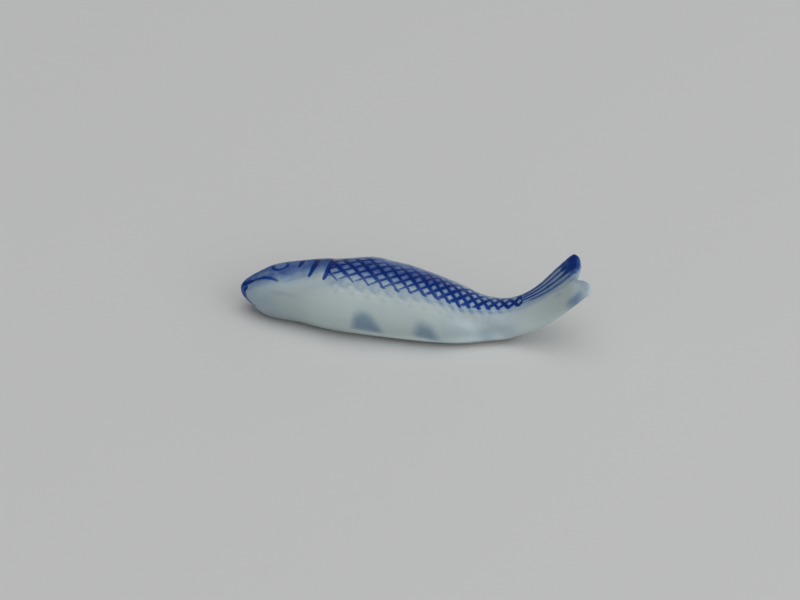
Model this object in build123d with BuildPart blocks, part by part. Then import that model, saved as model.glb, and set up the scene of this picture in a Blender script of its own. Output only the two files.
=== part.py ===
from build123d import *
from math import cos, radians, sin
import os

# Porcelain chopstick rest in the shape of a fish lying on its side, with its tail turned up.
# +Z is up, the head points to -X, the tail to +X, the belly to -Y and the back to +Y.
# All sizes are in millimetres and all angles in degrees. The sizes of the fish are those of
# the bare porcelain, and the glaze adds its own thickness all round.

# Coats on the porcelain
glaze_thickness = 0.25
cobalt_thickness = 0.08
bare_foot_height = 0.6

# Distances along the fish, each from the section before it
nose_to_lip = 0.9
lip_to_jaw = 1.9
jaw_to_eye = 3.2
eye_to_gill = 5.0
gill_to_nape = 6.5
nape_to_shoulder = 7.3
shoulder_to_belly = 8.9
belly_to_vent = 8.3
vent_to_saddle = 7.7
saddle_to_root = 5.9
root_to_fin = 4.4
fin_to_fork = 3.2
fork_to_end = 3.2

# Depth of each section, from the back to the belly of the fish
nose_depth = 1.8
lip_depth = 3.5
jaw_depth = 6.3
eye_depth = 9.75
gill_depth = 12.1
nape_depth = 15.0
shoulder_depth = 16.8
belly_depth = 15.7
vent_depth = 13.2
saddle_depth = 9.45
root_depth = 9.3
fin_depth = 9.95
fork_depth = 10.25
end_depth = 10.5

# Thickness of each section, from flank to flank
nose_thickness = 1.8
lip_thickness = 3.4
jaw_thickness = 6.2
eye_thickness = 9.2
gill_thickness = 10.4
nape_thickness = 11.8
shoulder_thickness = 12.5
belly_thickness = 11.5
vent_thickness = 9.4
saddle_thickness = 6.25
root_thickness = 3.4
fin_thickness = 1.9
fork_thickness = 1.25
end_thickness = 0.8

# Height of the spine over the table at each section
nose_height = 4.65
lip_height = 4.6
jaw_height = 4.5
eye_height = 4.6
gill_height = 4.95
nape_height = 5.45
shoulder_height = 5.7
belly_height = 5.2
vent_height = 4.15
saddle_height = 2.85
root_height = 4.75
fin_height = 8.3
fork_height = 12.05
end_height = 15.85

# Sideways sway of the spine at each section, towards the back of the fish
nose_sway = -0.4
lip_sway = -0.15
jaw_sway = 0.0
eye_sway = 0.3
gill_sway = 0.5
nape_sway = 0.1
shoulder_sway = 0.1
belly_sway = -0.45
vent_sway = -0.7
saddle_sway = 0.2
root_sway = 0.6
fin_sway = 0.6
fork_sway = 0.3
end_sway = 0.05

# Rise of the spine towards the tail, and roll of the back upwards as the tail twists
belly_rise = -2.0
vent_rise = -3.0
saddle_rise = 10.0
root_rise = 36.0
fin_rise = 46.0
body_roll = 4.0
vent_roll = 5.0
saddle_roll = 9.0
root_roll = 15.0
fin_roll = 21.0
fork_roll = 24.0
end_roll = 26.0

# Rounding of the snout, and the fork of the tail measured back from the end of the fin
snout_rounding = 0.55
notch_setback = 2.7
back_lobe_setback = 1.25
belly_lobe_setback = 0.2
back_corner_setback = 3.4
belly_corner_setback = 2.6
fork_overhang = 0.85
fork_cutter_reach = 5.0

# Blue wash over the upper flank, on which the scales are drawn
wash_behind_nape = 0.7
wash_ahead_of_root = 1.2
wash_low_at_start = 3.3
wash_low_at_shoulder = 4.2
wash_low_at_vent = 3.8
wash_up_at_root = 1.0

# Eye ring, mouth line and gill strokes painted on the head
eye_ring_behind_eye = 1.25
eye_ring_up = 1.3
eye_ring_radius = 1.45
eye_ring_width = 0.45
mouth_length = 6.6
mouth_drop = 2.1
mouth_bow = 0.4
mouth_width = 0.5
gill_stroke_gap = 0.4
gill_stroke_spacing = 2.7
gill_stroke_up = 2.4
gill_stroke_down = 3.2
gill_stroke_bow = 0.5
gill_stroke_width = 0.55

# Rays painted on the tail, and soft fin dabs painted on the belly
ray_count = 5
ray_width = 0.45
ray_length = 6.0
ray_root_spread = 1.9
ray_end_spread = 3.9
pectoral_behind_shoulder = 1.3
pectoral_length = 5.8
pectoral_height = 3.4
pelvic_behind_belly = 3.4
pelvic_length = 5.2
pelvic_height = 2.7

# Places of the sections along the fish
lip_along = nose_to_lip
jaw_along = lip_along + lip_to_jaw
eye_along = jaw_along + jaw_to_eye
gill_along = eye_along + eye_to_gill
nape_along = gill_along + gill_to_nape
shoulder_along = nape_along + nape_to_shoulder
belly_along = shoulder_along + shoulder_to_belly
vent_along = belly_along + belly_to_vent
saddle_along = vent_along + vent_to_saddle
root_along = saddle_along + saddle_to_root
fin_along = root_along + root_to_fin
fork_along = fin_along + fin_to_fork
end_along = fork_along + fork_to_end


def station(along, sway, height, rise, roll):
    """Plane square to the spine, with its x direction towards the back of the fish."""
    spine = Vector(cos(radians(rise)), 0, sin(radians(rise)))
    upwards = Vector(-sin(radians(rise)), 0, cos(radians(rise)))
    backwards = Vector(0, 1, 0) * cos(radians(roll)) + upwards * sin(radians(roll))
    return Plane(origin=(along, sway, height), x_dir=backwards, z_dir=spine)


def flat_of_fin(fin_station):
    """Plane in the flat of the tail fin: x towards the back, y along the fin, normal out of its upper face."""
    normal = fin_station.x_dir.cross(fin_station.z_dir)
    return Plane(origin=fin_station.origin, x_dir=fin_station.x_dir, z_dir=normal)


lip = station(lip_along, lip_sway, lip_height, 0, body_roll)
jaw = station(jaw_along, jaw_sway, jaw_height, 0, body_roll)
eye = station(eye_along, eye_sway, eye_height, 0, body_roll)
gill = station(gill_along, gill_sway, gill_height, 0, body_roll)
nape = station(nape_along, nape_sway, nape_height, 0, body_roll)
shoulder = station(shoulder_along, shoulder_sway, shoulder_height, 0, body_roll)
belly = station(belly_along, belly_sway, belly_height, belly_rise, body_roll)
vent = station(vent_along, vent_sway, vent_height, vent_rise, vent_roll)
saddle = station(saddle_along, saddle_sway, saddle_height, saddle_rise, saddle_roll)
root = station(root_along, root_sway, root_height, root_rise, root_roll)
fin = station(fin_along, fin_sway, fin_height, fin_rise, fin_roll)
fork = station(fork_along, fork_sway, fork_height, fin_rise, fork_roll)
end = station(end_along, end_sway, end_height, fin_rise, end_roll)
sections = [
    (lip, lip_depth, lip_thickness),
    (jaw, jaw_depth, jaw_thickness),
    (eye, eye_depth, eye_thickness),
    (gill, gill_depth, gill_thickness),
    (nape, nape_depth, nape_thickness),
    (shoulder, shoulder_depth, shoulder_thickness),
    (belly, belly_depth, belly_thickness),
    (vent, vent_depth, vent_thickness),
    (saddle, saddle_depth, saddle_thickness),
    (root, root_depth, root_thickness),
    (fin, fin_depth, fin_thickness),
    (fork, fork_depth, fork_thickness),
    (end, end_depth, end_thickness),
]


def fish_form(growth, floor):
    """The whole fish as one form, its surface moved out by growth, standing on a flat cut at floor."""
    nose = station(-growth, nose_sway, nose_height, 0, body_roll)
    outlines = []
    for plane, depth, thickness in [(nose, nose_depth, nose_thickness), *sections]:
        with BuildSketch(plane) as outline:
            Ellipse(depth / 2 + growth, thickness / 2 + growth)
        outlines.append(outline.sketch)
    lobe_half = end_depth / 2 + fork_overhang
    notch = (0, growth - notch_setback)
    back_corner = (lobe_half, growth - back_corner_setback)
    belly_corner = (-lobe_half, growth - belly_corner_setback)
    with BuildSketch(flat_of_fin(end)) as fork_cut:
        with BuildLine():
            ThreePointArc(back_corner, (lobe_half / 2, growth - back_lobe_setback), notch)
            ThreePointArc(notch, (-lobe_half / 2, growth - belly_lobe_setback), belly_corner)
            Polyline(
                belly_corner,
                (-lobe_half - fork_overhang, fork_cutter_reach),
                (lobe_half + fork_overhang, fork_cutter_reach),
                back_corner,
            )
        make_face()
    with BuildPart() as form:
        loft(outlines)
        fillet(form.edges().sort_by(Axis.X)[0], snout_rounding)
        extrude(to_extrude=fork_cut.sketch, amount=fork_cutter_reach, both=True, mode=Mode.SUBTRACT)
        split(bisect_by=Plane.XY.offset(floor), keep=Keep.TOP)
    return form.part


# The biscuit, the coat that a brush stroke is a part of, and the outside of the glaze
biscuit_form = fish_form(0, 0)
cobalt_coat = fish_form(cobalt_thickness, bare_foot_height) - biscuit_form
glazed_form = fish_form(glaze_thickness, bare_foot_height)

# The upper flank is painted from above, the belly from its own side
flank_plane = Plane.XY.offset(gill_height)
belly_plane = Plane.XZ
brush_reach = end_along

# Solid porcelain body with a bare flat foot
with BuildPart() as porcelain_body:
    add(biscuit_form)

# Blue wash from the back down over the upper flank, under the scales
wash_start = nape_along + wash_behind_nape
wash_end = root_along - wash_ahead_of_root
with BuildSketch(flank_plane) as flank_wash:
    with BuildLine():
        lower_edge = Spline(
            (wash_start, -wash_low_at_start),
            (shoulder_along, -wash_low_at_shoulder),
            (vent_along, -wash_low_at_vent),
            (wash_end, wash_up_at_root),
        )
        Polyline(lower_edge @ 1, (wash_end, shoulder_depth), (wash_start, shoulder_depth), lower_edge @ 0)
    make_face()
with BuildPart() as cobalt_flank_wash:
    extrude(to_extrude=flank_wash.sketch, amount=brush_reach)
    add(cobalt_coat, mode=Mode.INTERSECT)

# Ring painted round the eye
with BuildSketch(flank_plane) as eye_ring:
    with Locations((eye_along + eye_ring_behind_eye, eye_sway + eye_ring_up)):
        Circle(eye_ring_radius)
        Circle(eye_ring_radius - eye_ring_width, mode=Mode.SUBTRACT)
with BuildPart() as cobalt_eye_ring:
    extrude(to_extrude=eye_ring.sketch, amount=brush_reach)
    add(cobalt_coat, mode=Mode.INTERSECT)

# Line of the mouth, from the lip back along the cheek
with BuildSketch(flank_plane) as mouth_line:
    with BuildLine():
        ThreePointArc(
            (lip_along, nose_sway),
            (lip_along + mouth_length / 2, nose_sway - mouth_drop / 2 + mouth_bow),
            (lip_along + mouth_length, nose_sway - mouth_drop),
        )
    trace(line_width=mouth_width)
with BuildPart() as cobalt_mouth_line:
    extrude(to_extrude=mouth_line.sketch, amount=brush_reach)
    add(cobalt_coat, mode=Mode.INTERSECT)

# Strokes along the edge of the gill cover, the longest just ahead of the wash
with BuildSketch(flank_plane) as gill_strokes:
    for count in range(3):
        stroke_along = wash_start - gill_stroke_gap - gill_stroke_spacing * count
        with BuildLine():
            ThreePointArc(
                (stroke_along - gill_stroke_bow, gill_sway + gill_stroke_up),
                (stroke_along, gill_sway),
                (stroke_along - gill_stroke_bow, gill_sway - gill_stroke_down / (count + 1)),
            )
        trace(line_width=gill_stroke_width)
with BuildPart() as cobalt_gill_strokes:
    extrude(to_extrude=gill_strokes.sketch, amount=brush_reach)
    add(cobalt_coat, mode=Mode.INTERSECT)

# Rays fanning out over the back half of the tail fin, on its upper face
with BuildSketch(flat_of_fin(fin)) as tail_rays:
    for count in range(ray_count):
        share = (count + 1) / ray_count
        with BuildLine():
            Line((ray_root_spread * share, fin_to_fork - ray_length), (ray_end_spread * share, fin_to_fork))
        trace(line_width=ray_width)
with BuildPart() as cobalt_tail_rays:
    extrude(to_extrude=tail_rays.sketch, amount=fin_depth)
    add(cobalt_coat, mode=Mode.INTERSECT)

# Soft dabs for the paired fins, half rounds standing on the line of the belly
with BuildSketch(belly_plane) as fin_dabs:
    with Locations((shoulder_along + pectoral_behind_shoulder, vent_height)):
        Ellipse(pectoral_length / 2, pectoral_height)
    with Locations((belly_along + pelvic_behind_belly, vent_height)):
        Ellipse(pelvic_length / 2, pelvic_height)
    with Locations((belly_along, vent_height)):
        Rectangle(brush_reach, shoulder_thickness, align=(Align.CENTER, Align.MAX), mode=Mode.SUBTRACT)
with BuildPart() as cobalt_fin_dabs:
    extrude(to_extrude=fin_dabs.sketch, amount=brush_reach)
    add(cobalt_coat, mode=Mode.INTERSECT)

# Clear glaze over body and painting, wiped off the foot
painting = [
    cobalt_flank_wash.part,
    cobalt_eye_ring.part,
    cobalt_mouth_line.part,
    cobalt_gill_strokes.part,
    cobalt_tail_rays.part,
    cobalt_fin_dabs.part,
]
with BuildPart() as clear_glaze:
    add(glazed_form)
    add([biscuit_form, *painting], mode=Mode.SUBTRACT)

# Origin on the table, in the middle of the fish's length and width
whole_box = glazed_form.bounding_box()
to_origin = Pos(-whole_box.center().X, -whole_box.center().Y, 0)
pieces = {
    "porcelain_body": porcelain_body,
    "cobalt_flank_wash": cobalt_flank_wash,
    "cobalt_eye_ring": cobalt_eye_ring,
    "cobalt_mouth_line": cobalt_mouth_line,
    "cobalt_gill_strokes": cobalt_gill_strokes,
    "cobalt_tail_rays": cobalt_tail_rays,
    "cobalt_fin_dabs": cobalt_fin_dabs,
    "clear_glaze": clear_glaze,
}
os.makedirs("parts", exist_ok=True)
for name, piece in pieces.items():
    placed = to_origin * piece.part
    placed.label = name
    export_step(placed, f"parts/{name}.step")
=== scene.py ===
import math

import bmesh
import bpy
import numpy as np
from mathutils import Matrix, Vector


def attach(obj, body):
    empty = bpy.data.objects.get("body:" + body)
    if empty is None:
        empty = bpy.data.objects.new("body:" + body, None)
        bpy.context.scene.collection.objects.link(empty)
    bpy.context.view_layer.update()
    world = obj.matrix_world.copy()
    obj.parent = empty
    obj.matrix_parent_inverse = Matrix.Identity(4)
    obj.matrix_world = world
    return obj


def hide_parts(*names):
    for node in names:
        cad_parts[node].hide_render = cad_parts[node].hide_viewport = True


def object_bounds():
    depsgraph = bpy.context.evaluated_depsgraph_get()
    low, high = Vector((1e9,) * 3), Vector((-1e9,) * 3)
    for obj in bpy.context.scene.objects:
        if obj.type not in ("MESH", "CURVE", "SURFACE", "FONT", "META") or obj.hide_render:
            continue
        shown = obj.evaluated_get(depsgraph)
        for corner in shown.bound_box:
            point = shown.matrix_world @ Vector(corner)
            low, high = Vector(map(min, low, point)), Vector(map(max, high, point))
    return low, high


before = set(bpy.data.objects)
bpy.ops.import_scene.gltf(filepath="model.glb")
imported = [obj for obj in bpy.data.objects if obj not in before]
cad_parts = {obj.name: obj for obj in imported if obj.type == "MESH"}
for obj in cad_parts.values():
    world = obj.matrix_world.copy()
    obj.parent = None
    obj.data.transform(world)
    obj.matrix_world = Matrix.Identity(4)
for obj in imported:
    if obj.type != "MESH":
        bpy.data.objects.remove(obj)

cad_low, cad_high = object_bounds()
mm = 0.001

# Porcelain body. White clay pressed in a mould, sponged round and fired. Its nose is drawn in to
# a blunt point, and both tips of the tail fin are pinched out thin and long.
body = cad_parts["porcelain_body"]
nose = cad_low.x
nose_soft = 5.0
nose_firm = 9.0
fin_root = np.array([21.0, 0.0, 5.0])
fin_rise = math.radians(46)
fin_roll = math.radians(22)
up_fin = np.array([math.cos(fin_rise), 0, math.sin(fin_rise)])
off_fin = np.array([-math.sin(fin_rise), 0, math.cos(fin_rise)])
back_of_fin = np.array([0, math.cos(fin_roll), 0]) + off_fin * math.sin(fin_roll)
out_of_fin = off_fin * math.cos(fin_roll) - np.array([0, math.sin(fin_roll), 0])
pinch_start = 7.0
pinch_length = 7.3
tip_places = [-6.0, -4.6, -2.6, -1.4, -0.55, 0.15, 1.8, 3.7, 4.9]
tip_lengths = [1.0, 0.95, 0.05, -0.7, -0.6, 0.4, 0.65, 0.9, 1.05]


def step(values, start, stop):
    """Smooth rise from 0 at start to 1 at stop."""
    share = np.clip((values - start) / (stop - start), 0, 1)
    return share * share * (3 - 2 * share)


def read_points(mesh):
    points = np.empty(len(mesh.vertices) * 3, np.float32)
    mesh.vertices.foreach_get("co", points)
    return points.reshape(-1, 3).astype(float)


def read_normals(mesh):
    normals = np.empty(len(mesh.vertices) * 3, np.float32)
    mesh.vertex_normals.foreach_get("vector", normals)
    return normals.reshape(-1, 3).astype(float)


def write_points(mesh, points):
    mesh.vertices.foreach_set("co", points.astype(np.float32).ravel())
    mesh.update()


def fin_place(points):
    """How far points lie up the tail fin, and how far towards its back edge, in millimetres."""
    from_root = points / mm - fin_root
    return from_root @ up_fin, from_root @ back_of_fin


def rubbed(mesh, points, softness, rounds):
    """Moves each point towards the middle of its neighbours, as far as its softness allows."""
    ends = np.empty(len(mesh.edges) * 2, np.int32)
    mesh.edges.foreach_get("vertices", ends)
    first, second = ends.reshape(-1, 2).T
    both = np.concatenate([first, second])
    other = np.concatenate([second, first])
    neighbours = np.bincount(both, minlength=len(points))
    for _ in range(rounds):
        sums = [np.bincount(both, points[other, axis], len(points)) for axis in range(3)]
        middle = np.stack(sums, 1) / neighbours[:, None]
        points = points + (middle - points) * softness[:, None]
    return points


def sponged(name, voxel, rounds):
    """An even, softly rounded copy of the body, with its nose and fin tips finished by hand."""
    work = bmesh.new()
    work.from_mesh(body.data)
    bmesh.ops.remove_doubles(work, verts=work.verts, dist=0.001 * mm)
    rough_mesh = bpy.data.meshes.new(name + "_rough")
    work.to_mesh(rough_mesh)
    work.free()
    rough = bpy.data.objects.new(name + "_rough", rough_mesh)
    bpy.context.collection.objects.link(rough)
    remesh = rough.modifiers.new("even_quads", "REMESH")
    remesh.mode = "VOXEL"
    remesh.voxel_size = voxel
    smooth = rough.modifiers.new("sponge", "SMOOTH")
    smooth.factor = 0.5
    smooth.iterations = rounds
    depsgraph = bpy.context.evaluated_depsgraph_get()
    mesh = bpy.data.meshes.new_from_object(rough.evaluated_get(depsgraph))
    mesh.name = name
    bpy.data.objects.remove(rough)
    mesh.polygons.foreach_set("use_smooth", [True] * len(mesh.polygons))
    points = read_points(mesh)
    behind_nose = (points[:, 0] - nose) / mm
    nose_rounds = int((1.0 * mm / voxel) ** 2 * 2)
    softness = 0.5 * (1 - step(behind_nose, nose_soft, nose_firm))
    points = rubbed(mesh, points, softness, nose_rounds)
    up, sideways = fin_place(points)
    pinch = np.clip((up - pinch_start) / pinch_length, 0, 1.1) ** 2
    pinch *= np.interp(sideways, tip_places, tip_lengths)
    points += up_fin * pinch[:, None] * mm
    write_points(mesh, points)
    piece = bpy.data.objects.new(name, mesh)
    bpy.context.collection.objects.link(piece)
    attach(piece, "root")
    return piece


clay_voxel = 0.4 * mm
clay_rounds = 4
under_glaze = 0.2 * mm
biscuit_body = sponged("biscuit_body", clay_voxel, clay_rounds)
fired = read_points(biscuit_body.data)
set_back = under_glaze * step(fired[:, 2] / mm, 0.8, 1.6)
write_points(biscuit_body.data, fired - read_normals(biscuit_body.data) * set_back[:, None])
grain_size = 0.35 * mm
dark_grain = (0.50, 0.46, 0.39, 1)
pale_grain = (0.64, 0.61, 0.55, 1)
biscuit = bpy.data.materials.new("bare_biscuit")
biscuit.use_nodes = True
biscuit_nodes = biscuit.node_tree.nodes
biscuit_links = biscuit.node_tree.links
grain_place = biscuit_nodes.new("ShaderNodeTexCoord")
grain = biscuit_nodes.new("ShaderNodeTexNoise")
grain.inputs["Scale"].default_value = 1 / grain_size
grain.inputs["Detail"].default_value = 4
grain_tints = biscuit_nodes.new("ShaderNodeValToRGB")
grain_tints.color_ramp.elements[0].position = 0.35
grain_tints.color_ramp.elements[0].color = dark_grain
grain_tints.color_ramp.elements[1].position = 0.6
grain_tints.color_ramp.elements[1].color = pale_grain
biscuit_shader = biscuit_nodes["Principled BSDF"]
biscuit_shader.inputs["Roughness"].default_value = 0.85
biscuit_links.new(grain_place.outputs["Object"], grain.inputs["Vector"])
biscuit_links.new(grain.outputs["Fac"], grain_tints.inputs["Fac"])
biscuit_links.new(grain_tints.outputs["Color"], biscuit_shader.inputs["Base Color"])
biscuit_body.data.materials.clear()
biscuit_body.data.materials.append(biscuit)
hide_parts("porcelain_body")

# Glaze skin. The fish was dipped in clear glaze, which rounds every edge of the body and runs out
# just above the foot. The painting lies under it, so it is part of this skin.
glaze_voxel = 0.19 * mm
glaze_rounds = 8
skin = sponged("glaze_skin", glaze_voxel, glaze_rounds)
skin_mesh = skin.data
skin_mesh.materials.clear()
count = len(skin_mesh.vertices)
place = read_points(skin_mesh)
normal = read_normals(skin_mesh)
fin_along, fin_across = fin_place(place)
fin_face = normal @ out_of_fin

# Brush coordinates on the skin, in millimetres: how far behind the nose a place lies, and how far
# it lies round the flank from its crest, plus towards the back and minus towards the belly.
along = (place[:, 0] - nose) / mm
height = place[:, 2] / mm
slice_width = 0.5
slice_of = (along / slice_width).astype(int)
slices = np.arange(slice_of.min(), slice_of.max() + 1)
belly_side = np.zeros((len(slices), 2))
back_side = np.zeros((len(slices), 2))
crest = np.zeros(len(slices))
for number, slice_number in enumerate(slices):
    ring = place[slice_of == slice_number] / mm
    belly_side[number] = ring[ring[:, 1].argmin(), 1:]
    back_side[number] = ring[ring[:, 1].argmax(), 1:]
    crest[number] = ring[:, 2].max()
slice_places = (slices + 0.5) * slice_width


def eased(values, window=7):
    """Running mean of the slices, read at each point, so that the slices don't show."""
    padded = np.pad(values, window // 2, mode="edge")
    means = np.convolve(padded, np.ones(window) / window, mode="valid")
    return np.interp(along, slice_places, means)


half_depth = eased((back_side[:, 0] - belly_side[:, 0]) / 2)
middle_y = eased((back_side[:, 0] + belly_side[:, 0]) / 2)
middle_z = eased((back_side[:, 1] + belly_side[:, 1]) / 2)
half_thick = eased(crest) - middle_z
turn = np.arctan2(
    (place[:, 1] / mm - middle_y) / half_depth,
    (height - middle_z) / half_thick,
)
across = (half_depth + half_thick) / 2 * turn + (half_depth - half_thick) / 4 * np.sin(2 * turn)

relief = np.zeros(count)
glaze = bpy.data.materials.new("painted_glaze")
glaze.use_nodes = True
nodes = glaze.node_tree.nodes
links = glaze.node_tree.links
pigments = []


def stretch(values, start, full, fading, gone):
    """1 between full and fading, with smooth ends that come down to 0 at start and gone."""
    return step(values, start, full) * (1 - step(values, fading, gone))


def soft_spot(at_along, at_across, length, width):
    """A round touch on the skin that fades out from 1 at its middle."""
    return np.exp(-(((along - at_along) / length) ** 2) - ((across - at_across) / width) ** 2)


def keep_on_skin(name, *columns):
    """Stores up to three values a vertex for the painting to read."""
    filled = list(columns) + [np.zeros(count)] * (3 - len(columns))
    layer = skin_mesh.attributes.new(name, "FLOAT_VECTOR", "POINT")
    layer.data.foreach_set("vector", np.stack(filled, 1).astype(np.float32).ravel())


def from_skin(name):
    """The three stored values, as sockets."""
    reader = nodes.new("ShaderNodeAttribute")
    reader.attribute_name = name
    parts = nodes.new("ShaderNodeSeparateXYZ")
    links.new(reader.outputs["Vector"], parts.inputs[0])
    return list(parts.outputs)


def wire(socket, value):
    if isinstance(value, bpy.types.NodeSocket):
        links.new(value, socket)
    else:
        socket.default_value = value


def calc(operation, *values):
    node = nodes.new("ShaderNodeMath")
    node.operation = operation
    for socket, value in zip(node.inputs, values):
        wire(socket, value)
    return node.outputs[0]


def plus(first, *others):
    for other in others:
        first = calc("ADD", first, other)
    return first


def times(first, *others):
    for other in others:
        first = calc("MULTIPLY", first, other)
    return first


def fade(value, start, stop):
    """Smooth rise from 0 at start to 1 at stop, for each point of the surface."""
    node = nodes.new("ShaderNodeMapRange")
    node.interpolation_type = "SMOOTHSTEP"
    wire(node.inputs["Value"], value)
    wire(node.inputs["From Min"], start)
    wire(node.inputs["From Max"], stop)
    return node.outputs["Result"]


def mottle(size, detail=2):
    """Even noise round zero, with patches of that size in millimetres."""
    coordinates = nodes.new("ShaderNodeTexCoord")
    noise = nodes.new("ShaderNodeTexNoise")
    noise.inputs["Scale"].default_value = 1 / (size * mm)
    noise.inputs["Detail"].default_value = detail
    links.new(coordinates.outputs["Object"], noise.inputs["Vector"])
    return calc("SUBTRACT", noise.outputs["Fac"], 0.5)


def by_number(value, low, high):
    """A steady random value for each whole number."""
    noise = nodes.new("ShaderNodeTexWhiteNoise")
    noise.noise_dimensions = "1D"
    links.new(calc("FLOOR", value), noise.inputs["W"])
    return plus(times(noise.outputs["Value"], high - low), low)


def off_middle(value, space):
    """Distance from the middle between two whole numbers, where a space is one number wide."""
    return times(calc("ABSOLUTE", calc("SUBTRACT", calc("FRACT", value), 0.5)), space)


brush_wobble = mottle(1.2)
pigment_mottle = mottle(0.7, detail=3)

# Blue washes. Thin cobalt laid with a full brush over the head and down the upper flank, with
# soft edges, darkest on the back where it was laid first. The far side got a thinner coat.
head_edge_along = [0, 1.6, 3.6, 6.7, 9.6, 11.5, 13.4, 14.6, 16.5, 18.6]
head_edge_across = [-2.6, -2.6, -3.2, -3.6, -3.6, -3.1, -2.6, -2.1, -1.7, -1.4]
head_veil = 0.09
head_coat = 0.14
head_top_coat = 0.26
above_head_edge = across - np.interp(along, head_edge_along, head_edge_across)
head_wash = head_veil * step(above_head_edge, -1.7, -0.4)
head_wash += head_coat * step(above_head_edge, -0.5, 0.8)
head_wash += head_top_coat * step(above_head_edge, 0.3, 2.7)
wash_rim = np.exp(-(((above_head_edge - 0.2) / 0.35) ** 2))
head_wash += 0.05 * wash_rim * stretch(along, 9.0, 11.0, 15.0, 16.5)
head_wash += 0.14 * step(across, 1.2, 3.2) * step(along, 12.0, 14.5)
pale_behind_eye = soft_spot(12.0, -0.6, 2.0, 1.1)
pale_snout = soft_spot(4.6, -0.4, 1.4, 0.7)
head_wash -= 0.11 * pale_behind_eye + 0.14 * pale_snout
far_side = step(across, 4.0, 7.0)
head_wash *= 1 - step(along, 17.0 - 2.0 * far_side, 18.8 + 1.5 * far_side)
head_wash *= 1 - 0.35 * step(across, 5.5, 9.0)

row_guide_along = [18, 20.2, 26.5, 32, 37.4, 43.7, 47.5, 50, 55]
row_guide_across = [-2.0, -2.36, -3.1, -2.9, -2.15, -1.9, -1.1, -0.6, 0.3]
net_top_along = [19, 24, 28, 40, 44, 48, 55]
net_top_across = [4.6, 3.6, 2.9, 3.1, 2.9, 2.8, 2.8]
flank_veil = 0.12
flank_coat = 0.12
ridge_loss = 0.22
row_guide = np.interp(along, row_guide_along, row_guide_across)
net_top = np.interp(along, net_top_along, net_top_across)
above_guide = across - row_guide
veil_drop = 1.0 - 0.4 * step(along, 46, 52)
flank_top_coat = 0.24 + 0.07 * step(along, 23, 29) - 0.29 * step(along, 37, 45)
flank_wash = flank_veil * step(above_guide + veil_drop, -2.2, -0.4)
flank_wash += flank_coat * step(above_guide, -0.8, 0.8)
flank_wash += flank_top_coat * step(above_guide, 0.4, 3.0)
flank_wash -= ridge_loss * step(across, net_top - 0.9, net_top + 1.6)
flank_wash *= step(along, 17.0 - 2.5 * far_side, 18.8 - 1.5 * far_side)
under_tail = step(fin_along, 0.5, 3.0) * step(fin_face, 0.2, -0.3)
flank_wash *= 1 - 0.85 * under_tail

jaw_depth = [1, 2, 3, 4, 5, 6, 7, 8]
jaw_along = [1.4, 1.45, 1.6, 1.9, 2.4, 3.05, 3.8, 4.5]
jaw_dark = 0.65
wash = np.maximum(head_wash, flank_wash)
wash *= 1 - 0.6 * (1 - step(height, 1.0, 4.5)) * step(across, 4.5, 7.5)
jaw_line = np.interp(-across, jaw_depth, jaw_along)
jaw_rim = (1 - step(along, jaw_line - 0.2, jaw_line + 0.35)) * step(across, -9.5, -4.5)
wash = np.maximum(wash, jaw_dark * jaw_rim)
white_lobe_tip = step(fin_along, 11.5, 14.0) * (1 - step(fin_across, -2.5, -0.5))
# Painted shade in a faint blue over the pale belly under the head and low towards the tail; on the
# white tail tip it is a faint blue of the glaze.
blue_tint_and_shade = 0.09 * (1 - step(along, 3.5, 11.0)) + 0.035 * (1 - step(along, 10.0, 17.0))
blue_tint_and_shade += 0.04 * stretch(along, 36, 43, 53, 57)
blue_tint_and_shade += 0.035 * stretch(along, 46, 49.5, 51, 57)
blue_tint_and_shade += 0.06 * white_lobe_tip
wash = np.maximum(wash, blue_tint_and_shade)
wash += 0.05 * soft_spot(18.5, -4.2, 3.8, 1.5)
# A small paler gap in the wash beside the lip dot, partly unpainted glaze and partly a painted
# highlight.
wash -= 0.12 * soft_spot(2.15, -1.65, 0.4, 0.3)
keep_on_skin("wash", wash)
wash_strength = plus(1, times(mottle(1.6, detail=4), 0.9))
pigments.append(times(from_skin("wash")[0], wash_strength))
pigments.append(times(mottle(4.5, detail=3), 0.08))

# Net of scales. Two families of brush lines cross over low moulded scales. The scales shrink
# towards the tail, and the steep lines run on below the last crossing as dark teeth.
front_pitch = 3.25
rear_pitch = 1.95
pitch_loss = 0.05
net_start = 20.2
net_front = 17.7
net_rear = 55.3
net_foot = 1.6
row_period = 2.4
front_shear = 0.24
net_walk = np.linspace(0, 70, 1401)
net_pitch = np.maximum(rear_pitch, front_pitch - pitch_loss * np.maximum(net_walk - net_start, 0))
net_count = np.concatenate([[0], np.cumsum(np.diff(net_walk) / net_pitch[:-1])])
net_count -= np.interp(net_start, net_walk, net_count)
row = above_guide / row_period
shear = front_shear * (1 - step(along, 36, 41))
column = np.interp(along, net_walk, net_count) - shear * row
pitch = np.interp(along, net_walk, net_pitch)
steep = column + row + 0.4 * np.clip(0.1 - row, 0, 0.6) * step(along, 40, 45)
shallow = column - row
steep_unit = 1 / np.hypot(1 / pitch, (1 - shear) / row_period)
shallow_unit = 1 / np.hypot(1 / pitch, (1 + shear) / row_period)
lowest_row = np.interp(along, [43.5, 47.0, 50.5, 54.5], [-0.62, -0.36, -0.18, -0.08])
inside_low = (row - lowest_row) * row_period
inside_rear = net_rear - along - 0.25 * np.maximum(across - 1, 0)
inside_foot = (height - net_foot) * np.where(across > 0, 1, 9)
inside_ends = np.minimum(np.minimum(along - net_front, inside_rear), inside_foot)
thick_rear = step(along, 36, 45)
front_net = 1 - step(along, 31, 40)
first_teeth = (1 - step(row, -0.2, 0.6)) * (1 - step(along, 24, 29))
net_dark = 1 - 0.22 * first_teeth + 0.17 * thick_rear
line_share = 0.205 + 0.02 * thick_rear - 0.03 * front_net
line_share *= 1 - 0.6 * front_net * (1 - step(inside_low, 0.4, 2.2))
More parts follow.
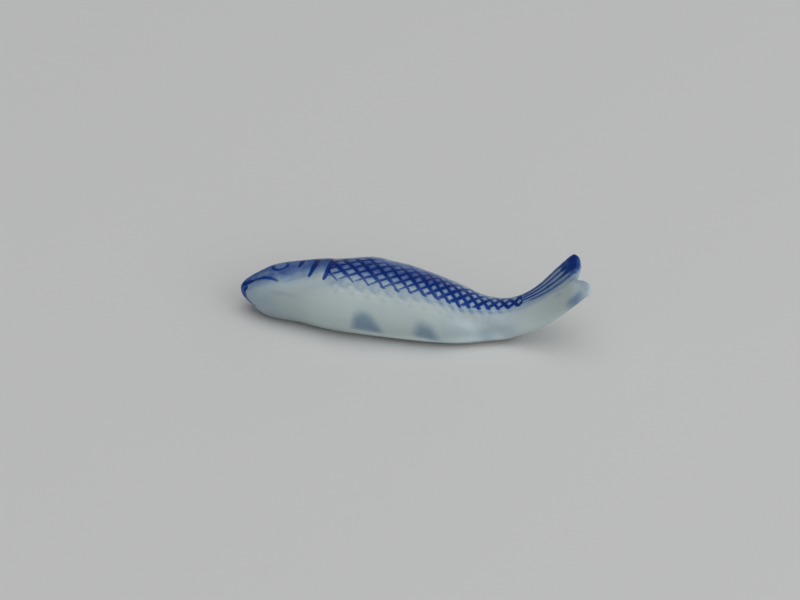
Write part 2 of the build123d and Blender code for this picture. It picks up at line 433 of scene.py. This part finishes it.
tooth_dots = step(along, 25, 28) * np.exp(-(((inside_low - 0.3) / 0.3) ** 2))
line_share += 0.1 * front_net * tooth_dots
keep_on_skin("net", steep, shallow, net_dark)
keep_on_skin("net_unit", steep_unit, shallow_unit, line_share)
keep_on_skin("net_edge", inside_low, inside_ends, net_top - across)
steep_number, shallow_number, line_dark = from_skin("net")
steep_space, shallow_space, line_width = from_skin("net_unit")
low_edge, end_edge, top_edge = from_skin("net_edge")
net_wobble = times(brush_wobble, 0.14)


def net_lines(number, space, low_stop, low_fade):
    """One family of lines with rounded ends, each with its own width, strength and length."""
    bent = plus(number, net_wobble)
    own_width = by_number(bent, 0.9, 1.12)
    own_low_end = by_number(plus(bent, 40), -0.1, 0.12)
    own_dark = by_number(plus(bent, 80), 0.48, 0.64)
    own_top_end = by_number(plus(bent, 120), -0.5, 0.5)
    ending = plus(low_edge, own_low_end)
    width = plus(times(own_width, line_width, space), times(pigment_mottle, 0.14))
    width = times(width, calc("SQRT", fade(ending, low_stop - 0.15, low_stop + 0.3)))
    line = fade(off_middle(bent, space), plus(width, 0.2), calc("SUBTRACT", width, 0.22))
    line = times(line, fade(ending, low_stop - 0.15, low_stop + low_fade))
    line = times(line, fade(end_edge, -0.1, 0.25))
    over_back = fade(plus(top_edge, own_top_end), -0.6, 1.3)
    line = times(line, plus(times(over_back, 0.88), 0.12))
    return times(line, line_dark, own_dark)


steep_lines = net_lines(steep_number, steep_space, 0.0, 0.12)
shallow_lines = net_lines(shallow_number, shallow_space, 0.2, 0.6)
pigments.append(calc("MAXIMUM", steep_lines, shallow_lines))
scale_rise = 0.18
on_cell = (np.cos(np.pi * steep) * np.cos(np.pi * shallow)) ** 2
scale_field = step(row, lowest_row - 1.6, lowest_row - 0.6) * stretch(along, 17.8, 19.5, 50, 54)
scale_field *= 1 - step(across, net_top - 1.5, net_top)
relief += scale_rise * scale_field * (on_cell - 0.25)
# Painted shade: faint blue streaks run down the valleys between the moulded scales below each tooth,
# stronger towards the tail.
rear_net = step(along, 33, 40)
off_steep = np.abs(steep - np.floor(steep) - 0.5) * steep_unit
below_valley_shade = inside_low + 0.95 - 0.4 * rear_net
valley_shade = np.exp(-((off_steep / 0.42) ** 2) - (below_valley_shade / 0.6) ** 2)
valley_shade *= stretch(along, 18.5, 20, 51, 54) * (0.12 + 0.08 * rear_net)
keep_on_skin("scale_valley_shade", valley_shade)
pigments.append(times(from_skin("scale_valley_shade")[0], wash_strength))


def brush_stroke(name, start, end, bow, width, dark, groove=0.0):
    """A tapering stroke from start to end that bows to its left, pressed a little into the clay."""
    start = np.array(start)
    chord = np.array(end) - start
    reach = np.hypot(*chord)
    ahead = chord / reach
    share = ((along - start[0]) * ahead[0] + (across - start[1]) * ahead[1]) / reach
    offset = (across - start[1]) * ahead[0] - (along - start[0]) * ahead[1]
    offset = offset - 4 * bow * share * (1 - share)
    keep_on_skin(name, offset, share * reach)
    beside, gone = from_skin(name)[:2]
    rounding = min(0.7, 0.4 * reach)
    swell = times(fade(gone, 0, 0.3 * reach), fade(gone, reach, 0.55 * reach))
    half = times(plus(0.68, times(swell, 0.32)), width / 2)
    half = plus(half, times(pigment_mottle, 0.14))
    half = times(half, calc("SQRT", fade(gone, -0.25, rounding)))
    half = times(half, calc("SQRT", fade(gone, reach + 0.25, reach - rounding)))
    off_line = calc("ABSOLUTE", plus(beside, times(brush_wobble, 0.2)))
    stroke = fade(off_line, plus(half, 0.16), calc("SUBTRACT", half, 0.16))
    stroke = times(stroke, fade(gone, -0.25, 0.05), fade(gone, reach + 0.25, reach - 0.1))
    pigments.append(times(stroke, dark))
    return groove * np.exp(-((offset / (0.7 * width)) ** 2)) * stretch(share, -0.1, 0.1, 0.9, 1.1)


# Eye. A ring drawn with the tip of the brush round a low moulded boss, paler inside as a painted
# reflection on the boss.
# The ring thins out towards the back, where the brush was lifted.
eye_along = 7.9
eye_across = 1.0
eye_radius = 1.42
eye_rise = 0.16
ring_half_width = 0.22
ring_strength = 0.34
from_eye = np.hypot(along - eye_along, across - eye_across)
keep_on_skin("eye", from_eye, 1 - 0.6 * step(across - eye_across, -0.2, 1.0))
eye_place, ring_dark = from_skin("eye")[:2]
eye_distance = plus(eye_place, times(brush_wobble, 0.2))
off_ring = calc("ABSOLUTE", calc("SUBTRACT", eye_distance, eye_radius))
eye_ring = fade(off_ring, ring_half_width + 0.15, ring_half_width - 0.12)
pigments.append(times(eye_ring, ring_strength, ring_dark))
# Paler inside the ring: a painted reflection on the boss.
pigments.append(times(fade(eye_distance, 1.25, 0.7), -0.08))
relief += eye_rise * (1 - step(from_eye, 0.3, eye_radius + 0.3))

# Mouth. One stroke from the lip back over the cheek, a dot on the lip, and a soft crease that
# the mould leaves on the lower jaw.
crease_depth = 0.1
relief -= brush_stroke("mouth", (1.2, -0.7), (8.2, -3.15), 0.52, 0.62, 0.33, groove=0.12)
relief -= brush_stroke("upper_lip", (0.9, -0.45), (3.0, -1.05), 0, 0.95, 0.26)
relief -= brush_stroke("lip_dot", (1.35, -1.62), (1.85, -1.78), 0, 0.85, 0.55)
crease_offset = across + 5.4 + 0.28 * (along - 7.8)
crease = np.exp(-((crease_offset / 0.45) ** 2)) * stretch(along, 6.0, 8.0, 11.0, 13.5)
relief -= crease_depth * crease

# Gill cover. Three strokes across the side of the head, each drawn from the back towards the
# belly and pressed a little into the clay, the last one at the edge of the cover.
relief -= brush_stroke("gill_front", (12.1, 3.4), (11.65, 0.1), 0, 0.85, 0.42, groove=0.05)
relief -= brush_stroke("gill_middle", (14.9, 4.2), (14.2, -2.6), 0.2, 1.0, 0.52, groove=0.08)
relief -= brush_stroke("gill_edge", (17.7, 9.0), (17.25, -3.4), 0.5, 1.15, 0.6, groove=0.16)

# Tail rays. Fine grooves fan out over the back half of the fin, filled with cobalt that runs
# together on the upper lobe. The belly half stays white, with one soft touch of the brush.
ray_number = 5
ray_half_width = 0.18
ray_depth = 0.25
ray_low = np.interp(fin_along, [0.5, 2.0, 11.0], [0.7, 0.35, -1.3])
ray_high = np.interp(fin_along, [0.5, 2.0, 11.0], [3.8, 4.2, 5.0])
ray = (fin_across - ray_low) / (ray_high - ray_low) * ray_number
ray_unit = (ray_high - ray_low) / ray_number
upper_face = step(fin_face, -0.1, 0.3)
on_tail = step(fin_along, -0.2, 1.6) * step(along, 53.8, 55.2)
tail_wash = 0.03 * step(ray, 0.8, 1.6) + 0.04 * step(ray, 2.0, 4.0)
tail_wash *= on_tail * (0.2 + 0.8 * upper_face)
tip_strength = 0.58
tip_start = 10.8 + 0.6 * (4.3 - fin_across)
tip_start += 1.5 * (1 - upper_face) - 2.2 * upper_face * np.sin(np.pi * ray) ** 4
tip_dark = step(fin_along, tip_start - 0.8, tip_start + 1.4) * step(fin_across, 0.2, 1.6)
tip_dark *= 0.35 + 0.65 * upper_face
upper_edge = step(ray, 4.0, 4.7) * (0.15 + 0.17 * step(fin_along, 6.0, 9.5))
tail_wash = np.maximum(tail_wash, on_tail * np.maximum(tip_strength * tip_dark, upper_edge))
lobe_dab = np.exp(-((np.abs(fin_along - 12.4) / 2.0) ** 3) - (np.abs(fin_across + 4.9) / 0.95) ** 3)
lobe_smear = np.exp(-(((fin_along - 9.2) / 0.8) ** 2) - ((fin_across + 1.4) / 0.5) ** 2)
tail_wash = np.maximum(tail_wash, on_tail * (0.23 * lobe_dab + 0.1 * lobe_smear))
keep_on_skin("tail_wash", tail_wash)
pigments.append(times(from_skin("tail_wash")[0], wash_strength))
ray_reach = np.interp(ray, [0.9, 1.1, 1.9, 2.1], [8.2, 2.6, 2.6, 0.8])
ray_field = on_tail * upper_face * step(fin_along, ray_reach - 0.8, ray_reach + 0.8)
ray_field *= (0.12 + 0.36 * step(ray, 0.7, 2.6)) * stretch(ray, 0.0, 0.2, 4.8, 5.2)
ray_field *= 1 - tip_dark
keep_on_skin("rays", ray, ray_unit, ray_field)
ray_count, ray_size, ray_dark = from_skin("rays")
off_ray = off_middle(plus(ray_count, times(brush_wobble, 0.12)), ray_size)
ray_half = plus(ray_half_width, times(pigment_mottle, 0.12))
ray_lines = fade(off_ray, plus(ray_half, 0.14), calc("SUBTRACT", ray_half, 0.14))
pigments.append(times(ray_lines, ray_dark))
off_groove = np.abs(ray - np.floor(ray) - 0.5) * ray_unit
relief -= ray_depth * np.exp(-((off_groove / 0.2) ** 2)) * ray_field

# Fin dabs. Soft touches of thin blue on the belly, over faintly raised fins. Each has a front and
# a rear end along the fish, a slant of its rear edge, an upper and a lower end, and a strength.
fin_rise_on_belly = 0.08
fin_dabs = [
    (23.7, 27.3, 0.62, -9.5, -14.2, 0.25),
    (35.6, 39.2, 0.4, -8.4, -12.6, 0.2),
    (47.3, 50.2, 0.3, -5.9, -8.2, 0.08),
]
dabs = np.zeros(count)
for dab_front, dab_rear, slant, dab_top, dab_low, strength in fin_dabs:
    below_top = np.maximum(dab_top - across, 0)
    front_edge = dab_front + 0.7 - 0.22 * below_top
    rear_edge = dab_rear + slant * below_top
    dab = stretch(along, front_edge - 1.1, front_edge + 1.3, rear_edge - 1.6, rear_edge + 1.1)
    dab *= stretch(across, dab_low - 0.3, dab_low + 1.6, dab_top - 2.0, dab_top + 1.0)
    dabs = np.maximum(dabs, strength * dab)
    relief += fin_rise_on_belly * dab
keep_on_skin("dabs", dabs)
greyed = np.minimum(1, 5 * dabs + 0.5 * on_tail * lobe_dab)
pigments.append(times(from_skin("dabs")[0], wash_strength))

# Clear glaze. It stands off the body by its own thickness, follows the moulded relief, thins out
# at the wiped line and sinks into the body below it. Painted shade and painted light darken and
# lighten its colour in places.
glaze_thickness = 0.25 * mm
glaze_line_height = 0.6 * mm
lowest_glaze = 0.05 * mm
bead_rise = 0.1
fold_rise = 0.14
back_line_along = [0, 1.5, 2.6, 4.5, 8, 14, 17.5, 19.5, 21.5, 25.4, 27.2, 29, 33, 36, 40]
back_line_rise = [0.25, 0.4, 0.38, 0.22, 0.18, 0.24, 0.1, -0.14, -0.1, 0.24, 0.22, 0.1, 0.25, 0.12, 0]
back_line_along += [47, 50, 53.5, 56, 58.5, 61, 63.5, 65]
back_line_rise += [0, 0.18, 0.08, 0, 0, 0.2, 0.2, 0]
back_begins = np.interp(along, [0, 3, 8, 16], [-2.2, -1.2, 0.2, 2.0])
back_line = np.interp(along, back_line_along, back_line_rise) * step(height, 1.5, 3.5)
relief += back_line * step(across, back_begins, back_begins + 2.5)
glaze_bead = np.exp(-(((height - 1.1) / 0.5) ** 2)) * (1 - step(along, 45, 50))
belly_fold = stretch(along, 42.5, 46.3, 46.5, 47.6) * stretch(across, -8.2, -6.8, -5.5, -3.0)
relief += bead_rise * glaze_bead + fold_rise * belly_fold
above_foot = (place[:, 2] - glaze_line_height * 0.7) / (glaze_line_height * 0.8)
above_foot = np.clip(above_foot, 0, 1)
coat = glaze_thickness * (1.2 * above_foot - 0.2) * (0.3 + 0.7 * step(along, 2.0, 6.0))
coat += relief * mm * above_foot
place += normal * coat[:, None]
place[:, 2] = np.maximum(place[:, 2], lowest_glaze)
write_points(skin_mesh, place)

cobalt_tints = [
    (0.0, (0.475, 0.555, 0.562)),
    (0.2, (0.262, 0.368, 0.48)),
    (0.35, (0.138, 0.223, 0.40)),
    (0.5, (0.058, 0.118, 0.32)),
    (0.65, (0.018, 0.062, 0.27)),
    (0.8, (0.004, 0.034, 0.215)),
    (1.0, (0.002, 0.02, 0.15)),
]
slate_tint = (0.16, 0.225, 0.235, 1)
tints = nodes.new("ShaderNodeValToRGB")
while len(tints.color_ramp.elements) < len(cobalt_tints):
    tints.color_ramp.elements.new(0.5)
for stop, (amount, tint) in zip(tints.color_ramp.elements, cobalt_tints):
    stop.position = amount
    stop.color = (*tint, 1)
links.new(plus(*pigments), tints.inputs["Fac"])
slate = nodes.new("ShaderNodeMix")
slate.data_type = "RGBA"
slate_share = slate.inputs[0]
clear_colour, slate_colour = slate.inputs[6:8]
slate_colour.default_value = slate_tint
links.new(tints.outputs["Color"], clear_colour)
# Painted shade: darker under the head, in the jaw crease, low on the flank and low on the saddle
# towards the tail.
painted_light_and_shade = 0.17 * stretch(along, 4, 8, 8, 18) * (1 - step(across, -6.0, -3.5))
painted_light_and_shade += 0.07 * crease
painted_light_and_shade += 0.06 * stretch(along, 23, 31, 50, 55) * (1 - step(across, -5.0, -2.0))
painted_light_and_shade += 0.1 * stretch(along, 46, 49.5, 50, 57) * (1 - step(across, -4.0, -1.5))
# Two soft patches of painted shade beside and behind the belly fold, and a painted highlight on the
# fold itself.
painted_light_and_shade += 0.1 * soft_spot(51.5, -5.3, 3.0, 0.9)
painted_light_and_shade += 0.08 * soft_spot(46.0, -4.2, 1.8, 1.0)
painted_light_and_shade -= 0.12 * soft_spot(45.5, -6.4, 1.8, 1.1)
# Painted light: a paler band a little above the foot, where the glaze catches light from the table.
painted_rim_light = np.exp(-(((height - 2.0) / 1.0) ** 2)) * stretch(along, 20, 30, 51, 55)
painted_light_and_shade -= 0.43 * painted_rim_light * (1 - 2.5 * dabs)
# Painted shade: darker low down next to the foot, where the fish meets the table.
painted_light_and_shade += (0.3 + 0.5 * step(along, 22, 34)) * (1 - step(height, 0.8, 1.7))
# Painted light: the white tip of the lower tail lobe made paler.
painted_light_and_shade -= 0.25 * white_lobe_tip
keep_on_skin("light_shade_and_grey", painted_light_and_shade, greyed)
light_and_shade_amount, glaze_grey = from_skin("light_shade_and_grey")[:2]
links.new(times(glaze_grey, 0.4), slate_share)
# The colour is darkened by the painted shade and lightened by the painted light.
shaded_colour = nodes.new("ShaderNodeVectorMath")
shaded_colour.operation = "SCALE"
links.new(slate.outputs[2], shaded_colour.inputs["Vector"])
links.new(calc("SUBTRACT", 1, light_and_shade_amount), shaded_colour.inputs["Scale"])
glaze_shader = nodes["Principled BSDF"]
links.new(shaded_colour.outputs["Vector"], glaze_shader.inputs["Base Color"])
glaze_shader.inputs["Roughness"].default_value = 0.14
glaze_shader.inputs["IOR"].default_value = 1.45
glaze_shader.inputs["Specular IOR Level"].default_value = 0.3
skin_mesh.materials.append(glaze)
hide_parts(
    "clear_glaze",
    "cobalt_flank_wash",
    "cobalt_eye_ring",
    "cobalt_mouth_line",
    "cobalt_gill_strokes",
    "cobalt_tail_rays",
    "cobalt_fin_dabs",
)

# Table. A plain pale sheet, wide enough to fill every view.
# It only carries the shadow and is not part of the fish.
table_size = 4.0
paper_colour = (0.69, 0.70, 0.695, 1)
table_bm = bmesh.new()
bmesh.ops.create_grid(table_bm, x_segments=1, y_segments=1, size=table_size / 2)
table_mesh = bpy.data.meshes.new("table")
table_bm.to_mesh(table_mesh)
table_bm.free()
table = bpy.data.objects.new("table", table_mesh)
bpy.context.collection.objects.link(table)
paper = bpy.data.materials.new("pale_paper")
paper.use_nodes = True
paper_shader = paper.node_tree.nodes["Principled BSDF"]
paper_shader.inputs["Base Color"].default_value = paper_colour
paper_shader.inputs["Roughness"].default_value = 0.9
table_mesh.materials.append(paper)

# Light. A soft lamp to the right of the tail, and a plain studio round it: a bright ceiling, a pale
# backdrop behind, a soft screen in front, a pale wall on the right and a dim room between them.
lamp_data = bpy.data.lights.new("soft_window", "AREA")
lamp_data.shape = "RECTANGLE"
lamp_data.size = 0.8
lamp_data.size_y = 0.6
lamp_data.energy = 1.8
lamp = bpy.data.objects.new("soft_window", lamp_data)
lamp.location = (0.74, -0.42, 0.52)
lamp.rotation_euler = (-Vector(lamp.location)).to_track_quat("-Z", "Y").to_euler()
bpy.context.collection.objects.link(lamp)
ceiling_light = 1.1
backdrop_light = 0.4
screen_light = 0.2
wall_light = 0.4
room_light = 0.13
studio = bpy.data.worlds.new("studio")
studio.use_nodes = True
bpy.context.scene.world = studio
nodes = studio.node_tree.nodes
links = studio.node_tree.links
gaze = nodes.new("ShaderNodeTexCoord")
gaze_parts = nodes.new("ShaderNodeSeparateXYZ")
links.new(gaze.outputs["Generated"], gaze_parts.inputs[0])
gaze_x, gaze_y, gaze_z = gaze_parts.outputs
ceiling = times(fade(gaze_z, 0.75, 1.0), ceiling_light)
backdrop = times(fade(gaze_z, 0.55, 0.25), fade(gaze_y, 0.0, 0.5), backdrop_light)
backdrop = times(backdrop, fade(gaze_x, -0.25, 0.0))
screen = times(fade(gaze_y, 0.0, -0.8), screen_light)
wall = times(fade(gaze_x, -0.7, 0.5), fade(gaze_y, 0.6, 0.1), wall_light)
background = nodes["Background"]
background.inputs["Color"].default_value = (1, 1, 1, 1)
links.new(plus(ceiling, backdrop, screen, wall, room_light), background.inputs["Strength"])

# Camera at the photograph's angle: a little above the table on the belly side, with a long lens.
# Its frame is shifted sideways by as much as the photograph's is.
camera_azimuth = math.radians(9.5)
camera_height_angle = math.radians(35)
camera_distance = 0.45
focal_pixels = 2403
picture_width = 800
aim_pixel = 417
aim = Vector((2.37, -10.45, 13.23)) * mm
camera_data = bpy.data.cameras.new("photo_view")
camera_data.sensor_width = 36
camera_data.lens = camera_data.sensor_width * focal_pixels / picture_width
camera_data.shift_x = (picture_width / 2 - aim_pixel) / picture_width
camera_data.clip_start = 0.01
camera_data.clip_end = 20
camera = bpy.data.objects.new("photo_view", camera_data)
towards_camera = Vector((
    math.sin(camera_azimuth) * math.cos(camera_height_angle),
    -math.cos(camera_azimuth) * math.cos(camera_height_angle),
    math.sin(camera_height_angle),
))
camera.location = aim + towards_camera * camera_distance
camera.rotation_euler = (-towards_camera).to_track_quat("-Z", "Y").to_euler()
bpy.context.collection.objects.link(camera)
bpy.context.scene.camera = camera
bpy.context.scene.view_settings.view_transform = "Standard"
